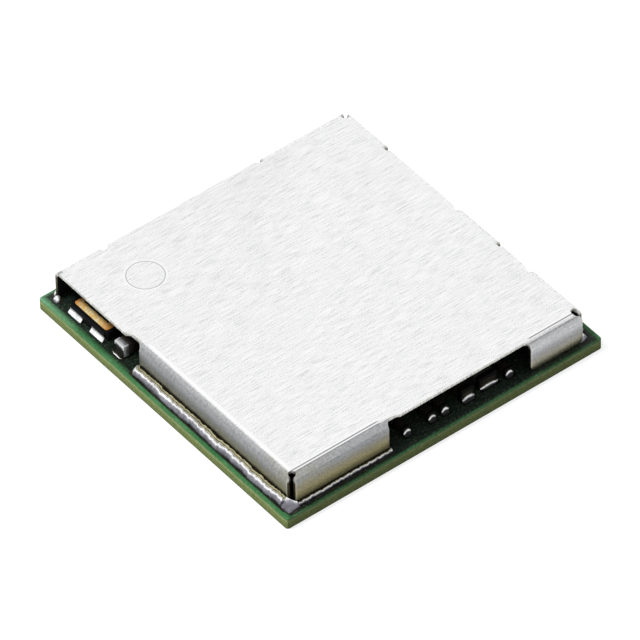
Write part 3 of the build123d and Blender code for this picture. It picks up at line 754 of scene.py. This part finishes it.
def moved(surface, x, y, turn):
    # a surface turned about the upright axis and set down at a place
    points, quads, rings, values = surface
    a = np.radians(turn)
    spin = np.array([[np.cos(a), np.sin(a), 0], [-np.sin(a), np.cos(a), 0], [0, 0, 1]])
    return points @ spin + [x, y, 0], quads, rings, values


def cupPatches(length, width, height, cup, x, y, turn):
    # both plated ends; each point keeps its place in the whole chip, from -1 to 1 along each axis
    ends = []
    for way in (0, 180):
        points, quads, rings, _ = roundedBox((cup, width, height), padTop, 0.03)
        points[:, 0] += length / 2 - cup / 2
        inChip = np.pad((points - [0, 0, padTop]) * 2 / [length, width, height] - [0, 0, 1], [(0, 0), (0, 1)])
        ends.append(moved(moved(patch(points, quads, rings, inChip), 0, 0, way), x, y, turn))
    return ends


filletForm = {"spread": 0.14, "climb": 0.75, "fall": 1.8, "bright": {"large_capacitor": 0.36, "antenna_filter": 0.5}}


def filletPatch(width, spread, climb, reach, fall, bright, x, y, turn):
    # a wedge: its height falls off as (1 - t) to the power fall, hollow above 1, and a hollow one tapers at both
    # sides; its band of light lies bright of the way down, and a negative bright makes it light all over
    t = np.linspace(0, 1, 10)[None, :]
    across = np.linspace(-1, 1, 13)[:, None]
    taper = 1 - (0.55 if fall > 1 else 0.1) * np.abs(across) ** 4
    out = spread * taper * t
    up = climb * (0.7 + 0.3 * taper) * (1 - t) ** fall
    place = np.clip(0.5 + 0.5 * (t - bright) - 0.1 * across ** 2, 0, 1) if bright >= 0 else 0.5 + 0 * out
    # a last column lies at its foot under the part
    px, pz, place = [np.concatenate([grid, last + 0 * across], 1) for grid, last in (
        (reach + out, reach - 0.005), (padTop + up, padTop), (place, 1))]
    py = across * width / 2
    return moved(closedGrid(stacked(px, py, pz), stacked(py + x + y, place), flip=True), x, y, turn)


def firedBlock(name, stops, grit):
    # pressed powder, fired hard: an even, satin body with grains about as large as its grit
    material, add = newMaterial(name, Roughness=0.6, Specular_IOR_Level=0.08)
    place = millimetres(add)
    grain = add("TexNoise", [place, 1 / grit, 3, 0.6])
    body = add("ValToRGB", [grain], stops=stops)
    # painted shade darkens the body under the can
    return finished(material, add("VectorMath SCALE", [body, paintedShadeUnderCan(add, place, 0.1, 0.5, 0.12, 0.3)]), grain, 0.008,
        0.4)


def platedTin(name, stops, roughness, bright=None):
    # electroplated matt tin: a soft silver white with slight clouding, darkened under the can as painted shade; bright
    # is the colour of a painted highlight along the edges, by the middle one of a point's three places in the chip
    material, add = newMaterial(name, Metallic=0.35, Roughness=roughness, Specular_IOR_Level=0.05)
    place = millimetres(add)
    cloud = add("TexNoise", [place, 7, 3, 0.6])
    plate = add("ValToRGB", [cloud], stops=stops)
    if bright:
        level = add("VectorMath ABSOLUTE", [add("UVMap", uv_map="level")])
        upright = add("VectorMath ABSOLUTE", [add("UVMap", uv_map="upright")])
        a, b = [add("SeparateXYZ", [level], axis) for axis in "XY"]
        c = add("SeparateXYZ", [upright], "X")
        less = add("MINIMUM", [a, b])
        more = add("MINIMUM", [add("MAXIMUM", [a, b]), c])
        middle = add("MAXIMUM", [less, more])
        rim = add("MapRange", [middle, 0.72, 0.86])
        plate = add("Mix RGBA", [rim, plate, bright])
    return finished(material, add("VectorMath SCALE", [plate, paintedShadeUnderCan(add, place, 0.12, 0.5, 0.008, 0.3)]), cloud,
        0.008, 0.4)


blockFinish = {
    "tan_ceramic": firedBlock("fired titanate ceramic", [(0.3, "#4d463d"), (0.55, "#6d655a"), (0.75, "#857c6f")],
        0.06),
    "black_ceramic": firedBlock("fired black alumina", [(0.3, "#101011"), (0.6, "#19191b"), (0.8, "#242426")], 0.05),
    "white_ceramic": firedBlock("fired white alumina", [(0.3, "#8f8c84"), (0.6, "#b4b1a8"), (0.8, "#c9c6bd")], 0.06),
    "ferrite": firedBlock("pressed ferrite", [(0.3, "#232324"), (0.6, "#343435"), (0.8, "#454546")], 0.08),
}
mouldedEpoxy = firedBlock("moulded epoxy", [(0.3, "#0c0c0c"), (0.6, "#151515"), (0.8, "#1f1f1f")], 0.04)
brightTin = platedTin("plated matt tin", [(0.3, "#77787b"), (0.5, "#a0a1a4"), (0.7, "#c4c5c8")], 0.45, "#f2f2f2")
terminalTin = platedTin("tinned terminal", [(0.3, "#b9babb"), (0.5, "#d4d5d6"), (0.7, "#ececed")], 0.34)
darkTin = platedTin("tinned pad rim", [(0.3, "#26261f"), (0.55, "#3c3b34"), (0.75, "#545248")], 0.45)
# solder at the parts: painted dark as shade under the can, with a thin band of painted white glint
shadeAndGlint = solderFinish("wicked solder", 0.1, [
    (0, "#15140f"), (0.42, "#24221a"), (0.46, "#8d8a7c"), (0.475, "#ffffff"), (0.53, "#ffffff"), (0.56, "#6b6a6e"),
    (0.6, "#2c2b2d"), (0.8, "#1a191a"), (1, "#101010")])

placed(newPiece("canPads", padShapes(), [darkTin]), "shield_pads")

fillets = []
for kind, (slot, length, width, height, cup, places) in chipKinds.items():
    node = kind + ("_blocks" if len(places) > 1 else "_block")
    words = "".join(word.capitalize() if i else word for i, word in enumerate(kind.split("_")))
    # the block lies a plating's thickness inside its cups
    block = roundedBox((length - 0.04, width - 0.03, height - 0.03), padTop + 0.015, 0.03)
    placed(newPiece(words + "Bodies", joined([moved(block, *place) for place in places]), [blockFinish[slot]]), node)
    cups = joined([end for place in places for end in cupPatches(length, width, height, cup, *place)])
    placed(newPiece(words + "Cups", cups, [brightTin], ["level", "upright"]), kind + "_caps")
    for x, y, turn in places:
        # the parts in the front opening have their band of light near the foot
        bright = 0.85 if y < -5 else filletForm["bright"].get(kind, 0.14)
        for way in (0, 180):
            fillets.append(filletPatch(width, filletForm["spread"], filletForm["climb"] * height, length / 2,
                filletForm["fall"], bright, x, y, turn + way))
print("chip parts placed:", sum(len(kind[-1]) for kind in chipKinds.values()))


# the crystal: a ceramic base with a gilt lid seam-welded over it and four tinned terminals

crystal = {"at": (-4.58, -5.4), "terminalSpacing": 1.18, "terminalWide": 0.68, "terminalReach": 0.805, "lidRound": 0.1}
lidLow, lidHigh = boxOf("crystal_lid")
halfLid = float(lidHigh[0] - lidLow[0]) / 2


def lidShape():
    # a plate with rounded corners; its rows run from the flat middle out down the rolled weld rim to its foot
    k = crystal
    turn, signX, signY = cornerTurns(7)
    thick = lidHigh[2] - lidLow[2]
    drawn = np.array([0.26, 0.23, 0.19, 0.1, 0.05, 0.02, 0.0, 0.0])[:, None]
    height = lidLow[2] + thick * np.array([1.0, 0.98, 0.9, 0.66, 0.5, 0.36, 0.22, 0.0])
    half = (lidHigh - lidLow)[:2] / 2 - k["lidRound"]
    radius = np.clip(k["lidRound"] - drawn, 0.012, None)
    over = np.clip(drawn - k["lidRound"] + 0.012, 0, None)
    x = (lidLow[0] + lidHigh[0]) / 2 + signX * (half[0] - over) + radius * np.cos(turn)
    y = (lidLow[1] + lidHigh[1]) / 2 + signY * (half[1] - over) + radius * np.sin(turn)
    ripple = 0.003 * np.sin(turn * 3 + 30 * x) * (np.arange(8) % 4 == 3)[:, None]
    return joined([closedGrid(stacked(x, y, height[:, None] + ripple))])


def giltLid():
    # gold plated over nickel, matt from the weld: warm yellow, orange at its ends, with fine rolling grain under it
    material, add = newMaterial("gold plate on nickel", Metallic=0.1, Roughness=0.5)
    place = millimetres(add)
    grain = add("TexNoise", [add("Mapping", [place, (9, 5, 8)]), 1, 3])
    gold = add("ValToRGB", [grain], stops=[(0.36, "#f9c46a"), (0.5, "#ffde98"), (0.62, "#fff2c8")])
    aside = add("SeparateXYZ", [place], "X")
    aside = add("SUBTRACT", [aside, float(lidLow[0] + lidHigh[0]) / 2])
    ends = add("MapRange", [add("ABSOLUTE", [aside]), halfLid - 0.45, halfLid])
    gold = add("Mix RGBA", [ends, gold, "#e39a45"])
    # painted shade of the can's plate: the lid is dark brown inside its bright rim
    front = add("SUBTRACT", [add("SeparateXYZ", [place], "Y"), float(lidLow[1])])
    side = add("SUBTRACT", [halfLid, add("ABSOLUTE", [aside])])
    inward = add("ADD", [add("MULTIPLY", [grain, 0.12]), add("MINIMUM", [front, side])])
    canShadow = add("MapRange", [inward, 0.28, 0.32])
    gold = add("Mix RGBA", [canShadow, gold, "#241a10"])
    return finished(material, gold, grain, 0.008, 0.5)


def giltLands():
    # immersion gold over nickel on the copper lands: pale, flat and even
    material, add = newMaterial("immersion gold", Metallic=1.0, Roughness=0.3)
    grain = add("TexNoise", [millimetres(add), 10, 3, 0.6])
    return finished(material, add("ValToRGB", [grain], stops=[(0.3, "#c9a04a"), (0.55, "#dcb865"), (0.75, "#e8cb84")]),
        grain, 0.006, 0.4)


placed(newPiece("giltCrystalLid", lidShape(), [giltLid()], smooth=60), "crystal_lid")
for across in (-1, 1):
    x = crystal["at"][0] + across * crystal["terminalSpacing"] / 2
    for turn in (-90, 90):
        fillets.append(filletPatch(crystal["terminalWide"], 0.12, 0.12, crystal["terminalReach"], 1.0, -1, x,
            crystal["at"][1], turn))
placed(newPiece("partFillets", joined(fillets), [shadeAndGlint], ["bead"]), "component_solder")

dressed(["crystal_base"], blockFinish["black_ceramic"])
dressed(["crystal_terminals", "radio_chip_lands", "front_end_lands", "band_filter_lands"], terminalTin)
dressed(["radio_chip", "front_end_chip", "band_filter"], mouldedEpoxy)
dressed(["component_pads"], darkTin)
dressed(["signal_lands", "ground_lands"], giltLands())
print("carried-over nodes dressed")


# the scene around it

camera = {"azimuth": 52.68, "elevation": 44.52, "roll": -1.474, "lens": 572.6, "sensor": 36.0,
          "distance": 338.4, "right": -0.0055, "up": -0.2607}


def placeCamera():
    # looks at the board's middle from its azimuth and elevation, rolled a little, then slid in its own plane
    az, el, roll = np.radians([camera["azimuth"], camera["elevation"], camera["roll"]])
    back = np.array([np.sin(az) * np.cos(el), -np.cos(az) * np.cos(el), np.sin(el)])
    right = np.array([np.cos(az), np.sin(az), 0])
    up = np.cross(back, right)
    right, up = right * np.cos(roll) + up * np.sin(roll), up * np.cos(roll) - right * np.sin(roll)
    spot = (back * camera["distance"] - right * camera["right"] - up * camera["up"]) * mm
    data = bpy.data.cameras.new("camera")
    data.sensor_width = camera["sensor"]
    data.lens = camera["lens"]
    data.clip_start = 0.01
    data.clip_end = 10
    eye = bpy.data.objects.new("camera", data)
    stand = np.eye(4)
    stand[:3] = np.stack([right, up, back, spot], 1)
    eye.matrix_world = Matrix(stand.tolist())
    bpy.context.scene.collection.objects.link(eye)
    bpy.context.scene.camera = eye


def whiteForEye(add):
    # 1 for rays that show the background itself: straight, mirrored or through glass
    straight, mirrored, through = [add("LightPath", out=f"Is {ray} Ray")
        for ray in ("Camera", "Glossy", "Transmission")]
    seen = add("MAXIMUM", [straight, mirrored])
    return add("MAXIMUM", [seen, through])


studio = {"soft": 0.42, "key": (-20, -38, 90), "keySize": 24, "keyPower": 0.054, "fill": (70, -10, 50), "fillSize": 50,
    "fillPower": 0.004}


def lightStudio():
    world = bpy.data.worlds.new("studio")
    bpy.context.scene.world = world
    world.use_nodes = True
    world.node_tree.nodes.clear()
    add = partial(addNode, world.node_tree)
    soft = add("Background", {"Color": "#f4f6fa", "Strength": studio["soft"]})
    white = add("Background", {"Color": (1, 1, 1, 1), "Strength": 1.0})
    add("OutputWorld", [add("MixShader", [whiteForEye(add), soft, white])])
    for name in ("key", "fill"):
        data = bpy.data.lights.new(name, "AREA")
        data.shape = "DISK"
        data.size = studio[name + "Size"] * mm
        data.energy = studio[name + "Power"]
        lamp = bpy.data.objects.new(name, data)
        lamp.location = np.array(studio[name]) * mm
        lamp.visible_glossy = False   # the metal mirrors the white room alone, and so shows the colours it is given
        lamp.rotation_euler = Vector(studio[name]).to_track_quat("Z", "Y").to_euler()
        bpy.context.scene.collection.objects.link(lamp)


def layFloor():
    # a matt sheet of card, white to the eye, that still takes the object's shadow
    material, add = newMaterial("white card", Roughness=1.0, Specular_IOR_Level=0.0, Emission_Color=(1, 1, 1, 1))
    grain = add("TexNoise", [millimetres(add), 3, 2])
    surfaced(material, Base_Color=add("ValToRGB", [grain], stops=[(0, "#bababa"), (1, "#c0c0c0")]),
             Emission_Strength=add("MULTIPLY", [whiteForEye(add), 0.72]))
    # 6 m each way, so that its edges never show
    corners = 3000 * np.array([[-1, -1, 0], [1, -1, 0], [1, 1, 0], [-1, 1, 0]])
    newPiece("floor", joined([patch(corners, rings=[[0, 1, 2, 3]])]), [material])


placeCamera()
lightStudio()
layFloor()
bpy.context.scene.view_settings.view_transform = "Standard"
print("camera, light and floor set")
